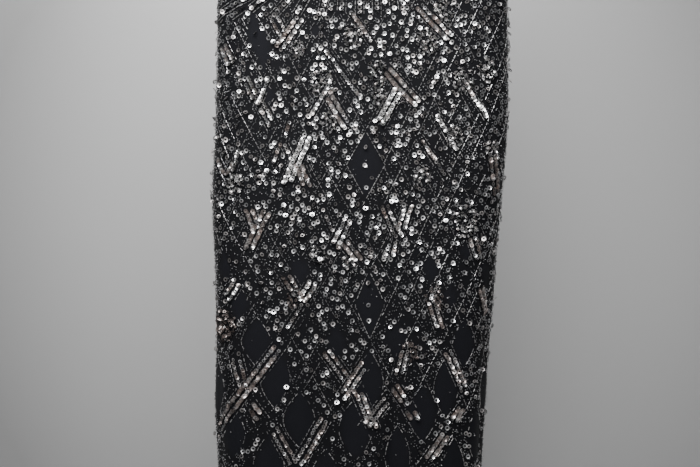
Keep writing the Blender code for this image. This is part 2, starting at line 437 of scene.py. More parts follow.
def shell_heights(panel):
    below = np.linspace(-DRESS_LENGTH, -UNDERARM_DROP, SHELL_ROWS_BELOW + 1)
    arm = level_heights(-UNDERARM_DROP, -NECK_DROP[panel], SHELL_ROWS_ARM)[1:]
    strap = level_heights(-NECK_DROP[panel], 0.0, SHELL_ROWS_STRAP)[1:]
    return np.concatenate([below, arm, strap, [0.0]])


def cloth_shell(panel):
    cloth = maps[panel]
    facing = FACING[panel]
    heights = shell_heights(panel)
    levels = np.interp(heights, cloth.heights, cloth.levels)
    mesh = bmesh.new()
    grain = mesh.loops.layers.uv.new("grain")
    # How bare the cloth is, for the material: sewn cloth is coloured darker, partly for black thread and
    # partly as painted shade of the beads.
    bare = mesh.verts.layers.float.new("bare")
    last_row = len(heights) - 1
    for side in (-1, 1):
        grid = bmesh.ops.create_grid(mesh, x_segments=SHELL_COLUMNS, y_segments=last_row, size=0.5)
        made = grid["verts"]
        flat, rows = {}, {}
        for vert in made:
            column = round((vert.co.x + 0.5) * SHELL_COLUMNS)
            row = round((vert.co.y + 0.5) * last_row)
            rows.setdefault(row, {})[column] = vert
        for row, columns in rows.items():
            section = quarter_section(heights[row], panel)
            first, last = row_ends(heights[row], panel, section[0], section[2])
            spread = np.append(np.linspace(first, last - SEAM_STRIP, SHELL_COLUMNS), last)
            plain = plainness(panel, side * spread, levels[row])
            points = cloth_row(heights[row], panel, side, spread, section)
            if row == last_row:
                points[:, 1] = facing * SEAM_GAP / 2.0
            for column, vert in columns.items():
                vert.co = Vector(points[column])
                flat[vert] = (side * spread[column], levels[row])
                vert[bare] = plain[column]
        for face in {face for vert in made for face in vert.link_faces}:
            for loop in face.loops:
                loop[grain].uv = flat[loop.vert]
    bmesh.ops.remove_doubles(mesh, verts=mesh.verts, dist=WELD)
    bmesh.ops.recalc_face_normals(mesh, faces=mesh.faces)
    chest = Vector((0, facing * 0.08, -0.3))
    nearest = min(mesh.faces, key=lambda face: (face.calc_center_median() - chest).length)
    if nearest.normal.y * facing < 0.0:
        bmesh.ops.reverse_faces(mesh, faces=mesh.faces)
    mesh.normal_update()
    for vert in mesh.verts:
        vert.co -= vert.normal * SHELL_SETBACK
    name = panel + "_cloth"
    shell = linked_object(name, finished_mesh(name, mesh, smooth=True))
    wall = shell.modifiers.new("Cloth thickness", "SOLIDIFY")
    wall.thickness = SHELL_THICKNESS
    wall.offset = -1.0
    return shell


shells = {panel: cloth_shell(panel) for panel in FACING}

# %% [markdown]
# ## The beads themselves
# Five small shapes are sewn on in their thousands, so each has only a few dozen faces. The ring
# sequin is a shallow cup with a wide hole, made by spinning its short profile round an axis. The
# strip sequin is a deeper cup with a smaller hole. A bugle bead is a cut glass tube. Seed beads
# and the knots of thread in the rings are small balls. All of them lie flat, with +Z out of the
# cloth and +Y up it.

# %% Bead sizes, in metres
RING_HOLE = 0.0013
RING_RADIUS = 0.0028
RING_CUP = 0.00025
STRIP_HOLE = 0.0009
STRIP_RADIUS = 0.0028
STRIP_CUP = 0.0006
BUGLE_LENGTH = 0.0046
BUGLE_RADIUS = 0.00055
SEED_RADIUS = 0.00088
KNOT_RADIUS = 0.0006

# %% Make the five shapes
def template(name, mesh, smooth):
    if sum(face.normal.z * face.calc_area() for face in mesh.faces) < -1e-9:
        bmesh.ops.reverse_faces(mesh, faces=mesh.faces)
    return bpy.data.objects.new(name, finished_mesh(name, mesh, smooth))


def spun_template(name, profile, steps):
    mesh = bmesh.new()
    verts = [mesh.verts.new((radius, 0.0, height)) for radius, height in profile]
    edges = [mesh.edges.new(pair) for pair in zip(verts, verts[1:])]
    bmesh.ops.spin(mesh, geom=verts + edges, axis=(0, 0, 1), angle=math.tau, steps=steps)
    bmesh.ops.remove_doubles(mesh, verts=mesh.verts, dist=0.00001)
    mesh.normal_update()
    return template(name, mesh, smooth=True)


def bead_template(name, radius, segments, rings):
    mesh = bmesh.new()
    bmesh.ops.create_uvsphere(mesh, u_segments=segments, v_segments=rings, radius=radius)
    return template(name, mesh, smooth=True)


def bugle_template(name):
    mesh = bmesh.new()
    bmesh.ops.create_cone(
        mesh, cap_ends=True, segments=5, radius1=BUGLE_RADIUS, radius2=BUGLE_RADIUS, depth=BUGLE_LENGTH
    )
    along_cloth = Matrix.Rotation(math.pi / 2, 3, "X")
    bmesh.ops.rotate(mesh, verts=mesh.verts, cent=(0, 0, 0), matrix=along_cloth)
    return template(name, mesh, smooth=False)


ring_profile = ((RING_HOLE, 0.0), (0.7 * RING_RADIUS, 0.25 * RING_CUP), (RING_RADIUS, RING_CUP))
strip_profile = ((STRIP_HOLE, 0.0), (STRIP_RADIUS, STRIP_CUP))
shapes = {
    "ring_sequins": spun_template("ring", ring_profile, 9),
    "ring_knots": bead_template("knot", KNOT_RADIUS, 5, 2),
    "strip_sequins": spun_template("strip", strip_profile, 9),
    "bugle_beads": bugle_template("bugle"),
    "seed_beads": bead_template("seed", SEED_RADIUS, 4, 3),
}
for name, shape in shapes.items():
    shape.data.calc_loop_triangles()
    print(name, "triangles each:", len(shape.data.loop_triangles))

# %% [markdown]
# ## The strips and the fan
# Short strips of overlapped sequins lie along the slants of the pattern, mostly in pairs: bright,
# silver, soft, warm and dim ones, and open ones that are mostly ring sequins. Below the waist rows
# of ring sequins spread like a fan, and where strips meet small sequins are sewn close and stand
# at all angles. The tables give places on the flat cloth, from the centre line and the shoulder.

# %% Strips: place, length, degrees from upright, how many side by side, and finish
Strip = namedtuple("Strip", "offset level length lean count finish")
STRIPS = [Strip(*row) for row in (
    (-0.0895, -0.502, 0.046, 35, 2, "soft"), (-0.104, -0.491, 0.030, -28, 2, "open"),
    (-0.004, -0.493, 0.042, -34, 1, "warm"), (0.089, -0.491, 0.054, -44, 2, "warm"),
    (-0.172, -0.524, 0.026, -30, 2, "warm"), (-0.024, -0.553, 0.072, -36, 1, "silver"),
    (0.046, -0.567, 0.053, -42, 2, "warm"), (0.128, -0.568, 0.030, -30, 1, "soft"),
    (-0.138, -0.569, 0.022, -26, 2, "silver"), (-0.122, -0.572, 0.033, 22, 1, "bright"),
    (-0.052, -0.581, 0.049, 31, 1, "silver"), (0.031, -0.590, 0.042, 31, 2, "bright"),
    (0.145, -0.593, 0.022, -34, 1, "bright"), (-0.033, -0.596, 0.041, -28, 2, "warm"),
    (-0.120, -0.599, 0.024, -27, 2, "soft"), (0.093, -0.611, 0.021, -30, 1, "bright"),
    (-0.093, -0.617, 0.018, 16, 1, "open"), (0.106, -0.633, 0.022, -32, 1, "silver"),
    (-0.106, -0.648, 0.024, 20, 1, "dim"), (-0.094, -0.646, 0.020, -25, 1, "soft"),
    (0.082, -0.652, 0.048, -35, 1, "soft"), (-0.082, -0.656, 0.058, 23, 2, "bright"),
    (-0.155, -0.652, 0.026, 14, 1, "bright"), (-0.165, -0.668, 0.018, 30, 1, "warm"),
    (-0.178, -0.662, 0.024, -36, 1, "warm"), (0.167, -0.672, 0.054, -13, 2, "warm"),
    (-0.076, -0.675, 0.026, -22, 2, "warm"), (0.048, -0.725, 0.030, 22, 2, "silver"),
    (-0.136, -0.727, 0.029, -18, 2, "warm"), (-0.047, -0.729, 0.027, -21, 1, "open"),
    (0.031, -0.732, 0.040, -23, 2, "open"), (-0.128, -0.740, 0.050, 26, 2, "warm"),
    (-0.031, -0.744, 0.038, 27, 2, "silver"), (0.025, -0.764, 0.023, 26, 1, "bright"),
    (0.033, -0.763, 0.018, 14, 1, "soft"), (0.139, -0.764, 0.026, -20, 2, "soft"),
    (-0.021, -0.766, 0.026, -36, 2, "warm"), (-0.092, -0.808, 0.032, -29, 2, "dim"),
    (-0.072, -0.813, 0.026, 30, 2, "silver"), (-0.160, -0.814, 0.022, 31, 2, "silver"),
    (0.081, -0.816, 0.024, 30, 1, "open"), (0.154, -0.831, 0.034, -20, 2, "warm"),
    (-0.087, -0.843, 0.032, 30, 1, "open"), (0.083, -0.844, 0.030, -20, 2, "open"),
    (0.040, -0.902, 0.030, 14, 2, "open"), (-0.041, -0.905, 0.044, -35, 2, "open"),
    (0.112, -0.913, 0.054, -28, 2, "soft"), (-0.150, -0.915, 0.037, -15, 2, "open"),
    (-0.020, -0.925, 0.042, 33, 2, "soft"), (-0.141, -0.934, 0.120, 34, 2, "warm"),
    (0.036, -0.939, 0.021, -37, 2, "warm"), (-0.005, -0.959, 0.046, -24, 2, "soft"),
    (0.011, -0.962, 0.036, 38, 2, "open"), (-0.131, -0.962, 0.014, -35, 2, "warm"),
    (0.119, -0.966, 0.018, 38, 2, "warm"), (0.055, -0.968, 0.010, -30, 2, "warm"),
    (-0.069, -1.000, 0.060, 29, 2, "soft"), (-0.100, -1.003, 0.042, -27, 2, "open"),
    (0.086, -1.009, 0.036, 38, 2, "warm"),
)]
HIDDEN_ROWS = (-1.100, -1.185, -1.270, -0.235, -0.150)
FAN_CROWN = Strip(0.0, -0.3385, 0.104, 90, 2, "silver")

# %% The fan of ring rows below the waist: each row's foot, and degrees from upright
FAN_CENTRE = -0.345
FAN_FOOT = {"near": -0.474, "far": -0.452}
FAN_ROWS = (
    (-0.190, 68), (-0.163, 60), (-0.136, 52), (-0.108, 43), (-0.079, 30), (-0.049, 12), (-0.026, 4),
    (-0.004, 0), (0.017, -2), (0.038, -7), (0.066, -19), (0.094, -33), (0.124, -45), (0.156, -56),
    (0.184, -66),
)

# %% Patches of crooked sequins with their radius, lines of bugles, and bright single rings
CROOKED_PATCHES = (
    (0.098, -0.475, 0.012), (-0.012, -0.508, 0.012), (0.078, -0.514, 0.013), (-0.080, -0.522, 0.009),
    (0.152, -0.546, 0.012), (0.018, -0.552, 0.012), (0.122, -0.560, 0.013), (-0.050, -0.564, 0.015),
    (0.019, -0.580, 0.010), (-0.045, -0.611, 0.010), (0.109, -0.628, 0.011), (0.162, -0.645, 0.011),
    (0.070, -0.676, 0.011), (-0.156, -0.686, 0.010), (0.128, -0.730, 0.016), (-0.061, -0.770, 0.009),
    (-0.022, -0.783, 0.010), (0.081, -0.826, 0.012), (-0.088, -0.826, 0.010), (-0.172, -0.858, 0.016),
    (0.050, -0.892, 0.011),
)
UPPER_LINES = (
    (-0.129, -0.527, -31.7, 0.040), (-0.0965, -0.535, -31.6, 0.067),
    (-0.078, -0.538, 26.0, 0.061), (-0.030, -0.531, -34.6, 0.043),
)
GLINTS = (
    (-0.109, -0.513), (-0.118, -0.670), (-0.001, -0.7155), (-0.065, -0.723), (-0.096, -0.724),
    (0.031, -0.707), (0.112, -0.758), (0.152, -0.771), (-0.058, -0.777), (0.058, -0.789), (0.087, -0.806),
    (0.106, -0.853), (-0.160, -0.885), (-0.097, -0.932), (0.086, -0.950), (-0.039, -0.951), (0.102, -0.977),
)

# %% [markdown]
# ## Charting the beads
# A chart remembers which spots of the flat cloth are taken, in cells of one millimetre. The big
# things are charted first: the fan, strips, lines of bugles. Loose ring sequins are then dropped at
# random wherever there is room, some of them in touching twos and threes, as on a hand-beaded
# cloth. Seed beads fill what is left. Each entry has the bead's place, its direction on the
# cloth, how far it tips, how high it stands, its size and its tone, from dim to bright.

# %% A chart of one panel
CELL = 0.001
CHART_HALF = 0.250
CHART_TOP = 0.060
BEAD_LIFT = 0.0008
Bead = namedtuple("Bead", "offset level spin pitch roll lift size tone")


class Chart:
    def __init__(self, panel):
        self.panel = panel
        self.cloth = maps[panel]
        self.mirror = -1 if panel == "back" else 1
        self.clearings = [c._replace(offset=c.offset * self.mirror) for c in clearings]
        self.beads = {name: [] for name in shapes}
        shape = (int((DRESS_LENGTH + CHART_TOP) / CELL), int(2 * CHART_HALF / CELL))
        self.taken = np.zeros(shape, bool)
        self.filled = np.zeros(shape, bool)

    def add(self, kind, *values):
        self.beads[kind].append(Bead(*values))

    def add_bugle(self, offset, level, spin, size, tone):
        self.add("bugle_beads", offset, level, spin, 0, 0, BEAD_LIFT, size, tone)

    def add_knot(self, offset, level, lift, size, tone):
        self.add("ring_knots", offset, level, 0, 0, 0, lift, size, tone)

    def stamp(self, grid, offset, level, radius):
        row = (level + DRESS_LENGTH) / CELL
        column = (offset + CHART_HALF) / CELL
        reach = int(radius / CELL) + 1
        r0, c0 = max(int(row) - reach, 0), max(int(column) - reach, 0)
        block = grid[r0 : int(row) + reach + 1, c0 : int(column) + reach + 1]
        rows, columns = np.ogrid[: block.shape[0], : block.shape[1]]
        block |= (rows + r0 + 0.5 - row) ** 2 + (columns + c0 + 0.5 - column) ** 2 < (radius / CELL) ** 2

    def cover(self, offset, level, taken, filled):
        """Keeps later sequins out of one radius round a place, and seed beads out of another."""
        self.stamp(self.taken, offset, level, taken)
        self.stamp(self.filled, offset, level, filled)

    def is_free(self, grid, offset, level):
        row = int((level + DRESS_LENGTH) / CELL)
        column = int((offset + CHART_HALF) / CELL)
        return 0 <= row < grid.shape[0] and 0 <= column < grid.shape[1] and not grid[row, column]

    def has_room(self, grid, offset, level, margin):
        return self.is_free(grid, offset, level) and self.cloth.on_cloth(offset, level, margin)


def slanted(start, lean, along, aside=0.0):
    """The place so far up a slanted line and so far to the right of it."""
    offset = start[0] + along * math.sin(lean) + aside * math.cos(lean)
    return offset, start[1] + along * math.cos(lean) - aside * math.sin(lean)


# %% Chart the fans
RING_STEP = 0.0058
FAN_HALF_ROW = 0.0052
FAN_SPARE = 0.016
FAN_TOP_GAP = 0.008
FAN_EYE = 0.030
FAN_TILT = 27.0


def fan_foot(offset, mirror):
    return FAN_FOOT["near"] if offset * mirror < 0.045 else FAN_FOOT["far"]


def in_fan(offset, level, mirror, spare=0.0):
    """Whether a place lies in the fan, leaving out a spare edge above its foot."""
    foot = fan_foot(offset, mirror)
    top = FAN_CENTRE - 0.007 if abs(offset) < 0.052 else foot + 0.086 - 0.42 * abs(offset)
    return foot + spare < level < top


def chart_fan(chart):
    """Rows of ring sequins between two lines of bugles. A row ends where it meets an earlier one."""
    for foot_offset, degrees in sorted(FAN_ROWS, key=lambda row: abs(row[1])):
        lean = math.radians(degrees)
        spin = lean * chart.mirror
        foot = fan_foot(foot_offset, 1) + luck.uniform(-0.006, 0.004)
        length = (FAN_CENTRE - FAN_TOP_GAP - foot) / math.cos(lean)
        if abs(lean) > 0.2:
            length = min(length, (abs(foot_offset) - FAN_EYE) / abs(math.sin(lean)))
        row = []
        for along in np.arange(0.0, length - RING_STEP, RING_STEP):
            place = slanted((foot_offset * chart.mirror, foot), spin, along)
            if not chart.is_free(chart.taken, *place):
                break
            row.append(place)
        for place in row:
            pitch, roll = luck.normal(0.0, FAN_TILT, 2)
            tone = luck.uniform(0.5, 1.0)
            chart.add("ring_sequins", *place, spin, pitch - 8, roll, 0.0014, 1.08, tone)
            chart.add_knot(*place, 0.0012, 1.0, 0.2)
            for side in (-1, 1):
                edge = slanted(place, spin, 0.0, side * FAN_HALF_ROW)
                chart.add_bugle(*edge, spin, luck.uniform(0.85, 1.0), luck.beta(1.5, 2.2))
                chart.cover(*edge, 0.004, 0.003)
            chart.cover(*place, 0.006, 0.005)


# %% Chart the strips
Finish = namedtuple("Finish", "tone mottle pitch roll spread step size open_share")
FINISHES = {
    "bright": Finish(1.00, 0.06, -23.0, -12.0, 6.0, 0.0034, 1.10, 0.05),
    "silver": Finish(0.85, 0.12, -17.0, -5.0, 14.0, 0.0034, 1.00, 0.25),
    "soft": Finish(0.54, 0.18, -12.0, 0.0, 14.0, 0.0034, 0.98, 0.35),
    "warm": Finish(0.45, 0.24, 13.0, 0.0, 14.0, 0.0020, 0.98, 0.14),
    "dim": Finish(0.60, 0.15, 34.0, 0.0, 30.0, 0.0032, 0.92, 0.25),
    "open": Finish(0.42, 0.15, 16.0, 0.0, 16.0, 0.0030, 0.92, 0.75),
}
OPEN_STEP = 0.0044
OPEN_SIZE = 0.84
OPEN_PITCH = 4.0
STRIP_GAP = 0.0071
STRIP_BEAT = 5.0
STRIP_CLEAR = 0.004
TIP_LENGTH = 0.005
TIP_PITCH = -20.0
BUGLE_STEP = 0.0058
BUGLE_CLEAR = 0.005
HIDDEN_SPACING = 0.082
HIDDEN_FINISHES = ("bright", "warm", "silver", "dim"), ("soft", "warm", "silver", "open")


def hidden_strips():
    """Plain pairs for the rows that are hidden from view, on the same slants as the others."""
    found = [FAN_CROWN]
    for row, level in enumerate(HIDDEN_ROWS):
        for step in range(-2, 3):
            offset = (step + 0.5 * (row % 2)) * HIDDEN_SPACING
            lean = 30 if (step + row) % 2 else -30
            finish = HIDDEN_FINISHES[level < -0.5][(step + 2 * row) % 4]
            found.append(Strip(offset, level - 0.012 * (step % 2), 0.044, lean, 2, finish))
            found.append(Strip(offset + 0.016, level - 0.034, 0.026, -lean, 2, "dim"))
    return found


def chart_strip(chart, strip):
    """Overlapped sequins with open stretches of ring sequins. Half start in a tip with a painted highlight.
    """
    lean = math.radians(strip.lean) * chart.mirror
    finish = FINISHES[strip.finish]
    for side in range(strip.count):
        across = (side - (strip.count - 1) / 2) * STRIP_GAP
        shift = luck.uniform(-0.004, 0.004)
        bow = luck.uniform(-0.0008, 0.0008)
        place, section_end, is_open, beat = 0.0, 0.0, False, 1
        glint = TIP_LENGTH if luck.random() < 0.5 else 0.0
        while place < strip.length:
            if place >= section_end:
                is_open = luck.random() < finish.open_share
                section_end += luck.uniform(0.006, 0.015)
            share = place / strip.length * 2.0 - 1.0
            at_tip = place < glint
            place += OPEN_STEP if is_open else finish.step
            beat = -beat
            along = share * strip.length / 2.0 + shift
            aside = across + bow * (1.0 - share**2)
            offset, level = slanted((strip.offset * chart.mirror, strip.level), lean, along, aside)
            chart.cover(offset, level, 0.0052, 0.0042)
            if not chart.cloth.on_cloth(offset, level, STRIP_CLEAR):
                continue
            pitch = TIP_PITCH if at_tip else OPEN_PITCH if is_open else finish.pitch
            pitch += luck.normal(0.0, finish.spread) + beat * STRIP_BEAT
            roll = finish.roll + luck.normal(0.0, finish.spread)
            # A tip sequin is tipped towards the key light, and its tone is set to full as a painted
            # highlight.
            tone = 1.0 if at_tip else finish.tone + 0.08 * is_open + beat * finish.mottle
            tone = np.clip(tone + luck.normal(0.0, finish.mottle), 0.0, 1.0)
            offset += luck.normal(0.0, 0.0003)
            lift = BEAD_LIFT + STRIP_RADIUS * abs(math.sin(math.radians(pitch)))
            size = (OPEN_SIZE if is_open else finish.size) * luck.uniform(0.95, 1.04)
            kind = "ring_sequins" if is_open else "strip_sequins"
            chart.add(kind, offset, level, lean, pitch, roll, lift, size, tone)


def chart_strip_borders(chart, strip):
    """A thin line of bugles runs along both sides of a pair of strips, a little past its ends."""
    lean = math.radians(strip.lean) * chart.mirror
    for side in (-1, 1):
        aside = side * (strip.count * STRIP_GAP / 2.0 + 0.0016)
        reach = strip.length / 2.0 + luck.uniform(0.002, 0.010)
        for along in np.arange(-reach, reach, BUGLE_STEP):
            place = slanted((strip.offset * chart.mirror, strip.level), lean, along, aside)
            if luck.random() < 0.75 and chart.cloth.on_cloth(*place, BUGLE_CLEAR):
                tone = luck.beta(1.3, 3.0)
                chart.add_bugle(*place, lean, luck.uniform(0.7, 0.95), tone)


# %% Chart the crooked sequins
CROOKED_COUNT = 110
CROOKED_RADIUS = 0.013
CROOKED_BUGLES = 14
PAINTED_SHADE_BELOW = -0.80


def patch_places(patch, count, mirror):
    """Places at random in a patch that is a third taller than it is wide."""
    centre, middle, radius = patch
    for turn, share in luck.random((count, 2)) * (math.tau, 1.0):
        reach = radius * math.sqrt(share)
        yield centre * mirror + reach * math.cos(turn), middle + 1.3 * reach * math.sin(turn)


def chart_crooked(chart):
    """Where strips meet, small sequins are sewn close and stand at all angles."""
    for patch in CROOKED_PATCHES:
        count = int(CROOKED_COUNT * (patch[2] / CROOKED_RADIUS) ** 2)
        for place in patch_places(patch, count, chart.mirror):
            if not chart.has_room(chart.filled, *place, BUGLE_CLEAR):
                continue
            tip, way = luck.uniform(36.0, 78.0), luck.uniform(0.0, math.tau)
            lift = 0.0004 + 0.0022 * math.sin(math.radians(tip))
            size, tone = luck.uniform(0.60, 0.84), luck.uniform(0.70, 1.0)
            # Below this level the sequins' tone is darkened as painted shade, where the key light falls off
            # towards the hem.
            tone *= 0.4 if patch[1] < PAINTED_SHADE_BELOW else 1.0
            pitch, roll = tip * math.cos(way), tip * math.sin(way)
            chart.add("strip_sequins", *place, luck.uniform(0, math.tau), pitch, roll, lift, size, tone)
            chart.cover(*place, 0.0040, 0.0020)
        for place in patch_places(patch, CROOKED_BUGLES, chart.mirror):
            if chart.cloth.on_cloth(*place, BUGLE_CLEAR):
                lean, tone = luck.normal(0.0, 0.8), luck.uniform(0.3, 0.8)
                chart.add("bugle_beads", *place, lean, 0, 0, 0.0022, luck.uniform(0.6, 0.9), tone)


# %% Chart the lines of bugles
def chart_line(chart, start, lean, length, evenness):
    """A line of bugles from a starting place. It breaks off where something else is in its way."""
    for i in range(int(length / BUGLE_STEP) + 1):
        offset, level = slanted(start, lean, i * BUGLE_STEP + luck.normal(0.0, 0.0003))
        if not chart.has_room(chart.taken, offset, level, BUGLE_CLEAR):
            continue
        if clearing_shares(offset, level, chart.clearings) < 0.96 or in_fan(offset, level, chart.mirror):
            continue
        if math.sin(31 * offset + 53 * level + 9 * lean) < luck.normal(-evenness, 0.45):
            continue
        turn = lean + luck.normal(0.0, 0.08)
        tone = luck.beta(1.4, max(3.6 - 2.0 * evenness, 1.5))
        chart.add_bugle(offset, level, turn, luck.uniform(0.72, 0.95), tone)


def chart_lattice(chart):
    lean = math.atan(1.0 / LATTICE_SLOPE)
    reach = 0.225 / math.sin(lean)
    for turn, first, side, up in product(range(-4, 8), LATTICE_LEVELS, (-1, 1), (-1, 1)):
        crossing = first + turn * LATTICE_PERIOD
        bend = luck.normal(0.0, 0.015)
        heading = side * (lean if up > 0 else math.pi - lean)
        if crossing - (0 if up > 0 else reach * math.cos(lean)) > -1.9:
            chart_line_cut(chart, (0.0, crossing), heading + bend, reach)


def chart_line_cut(chart, start, heading, reach):
    """A lattice line. It stops at the level where the diamonds give way to leaves."""
    run = math.cos(heading)
    if start[1] < LATTICE_ENDS and run > 0:
        begin = (LATTICE_ENDS - start[1]) / run
        start = (start[0] + begin * math.sin(heading), LATTICE_ENDS)
        reach -= begin
    elif run < 0:
        reach = min(reach, (LATTICE_ENDS - start[1]) / run)
    if reach > 0.01 and start[1] >= LATTICE_ENDS:
        rising_right = run > 0 and math.sin(heading) * chart.mirror > 0
        evenness = 0.95 if rising_right else 0.55 if run > 0 else 0.25
        if rising_right and start[0] + 0.5 * reach * math.sin(heading) * chart.mirror > 0.06:
            evenness = 1.5
        chart_line(chart, start, heading, reach, evenness)


def along_path(offsets, levels, first, spare, ahead):
    """Places a bugle apart on a drawn line, each with the line's lean a little further on."""
    steps = np.concatenate([[0.0], np.cumsum(np.hypot(np.diff(offsets), np.diff(levels)))])
    for along in np.arange(first, steps[-1] - spare, BUGLE_STEP):
        here, there = (
            (np.interp(place, steps, offsets), np.interp(place, steps, levels))
            for place in (along, along + ahead)
        )
        yield *here, math.atan2(there[0] - here[0], there[1] - here[1])


def chart_outlines(chart):
    """Leaves have an outline of bugles, and so have the plain diamonds on the centre line."""
    rises = np.linspace(-0.97, 0.97, 81)
    for clearing in chart.clearings:
        in_middle = clearing.offset == 0.0 and clearing.roundness < 0.5
        if clearing.roundness < 0.5 and not in_middle:
            continue
        chance = 0.92 if in_middle else 0.62
        widths = clearing.half_width * (1.0 - np.abs(rises) ** (1.0 + clearing.roundness))
        levels = clearing.level + rises * clearing.half_height
        for side in (-1, 1):
            for offset, level, lean in along_path(clearing.offset + side * widths, levels, 0.002, 0.0, 0.003):
                if chart.has_room(chart.taken, offset, level, BUGLE_CLEAR) and luck.random() < chance:
                    tone = luck.beta(2.0, 2.0) if in_middle else luck.beta(1.3, 2.6)
                    chart.add_bugle(offset, level, lean, luck.uniform(0.85, 1.0), tone)


def cover_bugles(chart):
    for bead in chart.beads["bugle_beads"]:
        for part in (-0.002, 0.0, 0.002):
            chart.cover(*slanted(bead, bead.spin, part), 0.0024, 0.0014)


# %% Chart the loose sequins and seed beads
RINGS_BY_LEVEL = np.array([
    (-1.360, 2400), (-1.040, 3600), (-0.950, 5400), (-0.860, 10500), (-0.760, 19500), (-0.620, 21000),
    (-0.460, 31000), (-0.340, 12000), (0.0, 8000),
])
RING_TRIES = 42000
RING_COVER = 0.0053, 0.0036
RING_TOUCH = 0.0056
SEAM_CLEAR = 0.0036
SEED_CLEAR = 0.0018
SEEDS_PER_RING = 3.55


def patchiness(offset, level):
    """Loose sequins are sewn thicker in some patches and thinner in others."""
    wave = np.sin(95 * offset + 41 * level) * np.sin(67 * level - 38 * offset + 1.3)
    return 1.0 + 0.45 * wave


def chart_rings(chart):
    area = chart.cloth.top + DRESS_LENGTH
    draws = luck.random((int(RING_TRIES * area * 2 * CHART_HALF), 4))
    draws = draws * (2 * CHART_HALF, area, RING_TRIES, 1) - (CHART_HALF, DRESS_LENGTH, 0, 0)
    density = np.interp(draws[:, 1], *RINGS_BY_LEVEL.T) * patchiness(draws[:, 0], draws[:, 1])
    draws = draws[(draws[:, 2] < density) & chart.cloth.on_cloth(draws[:, 0], draws[:, 1], SEAM_CLEAR)]
    shares = clearing_shares(draws[:, 0], draws[:, 1], chart.clearings)
    for (offset, level, _, kind), share in zip(draws, shares):
        if in_fan(offset, level, chart.mirror, FAN_SPARE) or not chart.is_free(chart.taken, offset, level):
            continue
        if share < 1.05 and luck.random() > 0.02:
            continue
        add_ring(chart, offset, level)
        for _ in range(0 if kind >= 0.20 else 1 if kind < 0.16 else 2):
            turn = luck.uniform(0.0, math.tau)
            near = offset + RING_TOUCH * math.cos(turn), level + RING_TOUCH * math.sin(turn)
            free = chart.has_room(chart.filled, *near, SEAM_CLEAR)
            if free and clearing_shares(*near, chart.clearings) > 1.1:
                add_ring(chart, *near)


def add_ring(chart, offset, level):
    crooked = luck.random() < 0.18
    tip = luck.uniform(30.0, 60.0) if crooked else abs(luck.normal(0.0, 14.0))
    way = luck.uniform(0.0, math.tau)
    pitch, roll = tip * math.cos(way), tip * math.sin(way)
    lift = 0.0004 + RING_RADIUS * abs(math.sin(math.radians(tip)))
    tone = luck.uniform(0.2, 0.6) if crooked else np.clip(luck.normal(0.88, 0.25), 0.2, 1.0)
    size = luck.uniform(0.94, 1.10)
    chart.add("ring_sequins", offset, level, luck.uniform(0, math.tau), pitch, roll, lift, size, tone)
    chart.add_knot(offset, level, lift - 0.0002, 0.85, luck.uniform(0.0, 0.15))
    chart.cover(offset, level, *RING_COVER)


def chart_glints(chart):
    """A few ring sequins are tipped so that they throw the key light at the camera."""
    for offset, level in GLINTS:
        place = offset * chart.mirror, level
        chart.add("ring_sequins", *place, 0.4 * chart.mirror, -23.0, -12.0, 0.0022, 1.14, 1.0)
        chart.add_knot(*place, 0.0014, 0.7, 0.5)
        chart.cover(*place, *RING_COVER)


def chart_seeds(chart):
    area = chart.cloth.top + DRESS_LENGTH
    aim = int(SEEDS_PER_RING * len(chart.beads["ring_sequins"]))
    draws = luck.random((aim * 14, 2)) * (2 * CHART_HALF, area) - (CHART_HALF, DRESS_LENGTH)
    draws = draws[chart.cloth.on_cloth(draws[:, 0], draws[:, 1], SEED_CLEAR)]
    shares = clearing_shares(draws[:, 0], draws[:, 1], chart.clearings)
    for (offset, level), share in zip(draws, shares):
        if len(chart.beads["seed_beads"]) >= aim:
            break
        if not chart.is_free(chart.filled, offset, level):
            continue
        if share < 1.0 and luck.random() > 0.04:
            continue
        if offset * chart.mirror > 0.160 and level < -0.62 and luck.random() > 0.35:
            continue
        turn = luck.uniform(0.0, 90.0, 3)
        size = luck.uniform(0.75, 1.1)
        tone = luck.beta(1.3, np.interp(level, (-0.95, -0.75), (3.0, 2.2)))
        chart.add("seed_beads", offset, level, math.radians(turn[0]), turn[1], turn[2], 0.0005, size, tone)
        chart.stamp(chart.filled, offset, level, 0.0018)


# %% Chart the beaded edges
EDGE_INSET = 0.0035
EDGE_SPARE = 0.004


def chart_edges(chart):
    """One row of bugles inside the neck, the armholes and the hem."""
    cloth = chart.cloth
    upper = cloth.levels > -UNDERARM_DROP - 1e-6
    levels, firsts, lasts = cloth.levels[upper], cloth.ends[upper, 0], cloth.ends[upper, 1]
    neck = levels > np.interp(-NECK_DROP[chart.panel], cloth.heights, cloth.levels)
    hem = np.linspace(0.0, cloth.sides[0] - 0.004, 60)
    for side in (-1, 1):
        for offsets, heights in (
            (side * (firsts[neck] + EDGE_INSET), levels[neck]),
            (side * (lasts - EDGE_INSET), levels),
            (side * hem, np.full(len(hem), -DRESS_LENGTH + EDGE_INSET)),
        ):
            for place in along_path(offsets, heights, EDGE_SPARE, EDGE_SPARE, 0.002):
                chart.add_bugle(*place, 1.0, luck.uniform(0.4, 0.9))


# %% Chart both panels
def chart_panel(panel):
    chart = Chart(panel)
    chart_edges(chart)
    chart_fan(chart)
    for strip in [*STRIPS, *hidden_strips()]:
        chart_strip(chart, strip)
    for strip in STRIPS:
        chart_strip_borders(chart, strip)
    chart_crooked(chart)
    for level in LONE_RINGS:
        add_ring(chart, luck.uniform(-0.002, 0.002), level)
    chart_glints(chart)
    chart_outlines(chart)
    for offset, level, degrees, length in UPPER_LINES:
        lean = math.radians(degrees) * chart.mirror
        chart_line(chart, (offset * chart.mirror, level), lean, length, 0.9)
    cover_bugles(chart)
    chart_lattice(chart)
    cover_bugles(chart)
    chart_rings(chart)
    chart_seeds(chart)
    return chart


charts = {panel: chart_panel(panel) for panel in FACING}
for panel, chart in charts.items():
    print(panel, {name: len(beads) for name, beads in chart.beads.items()})

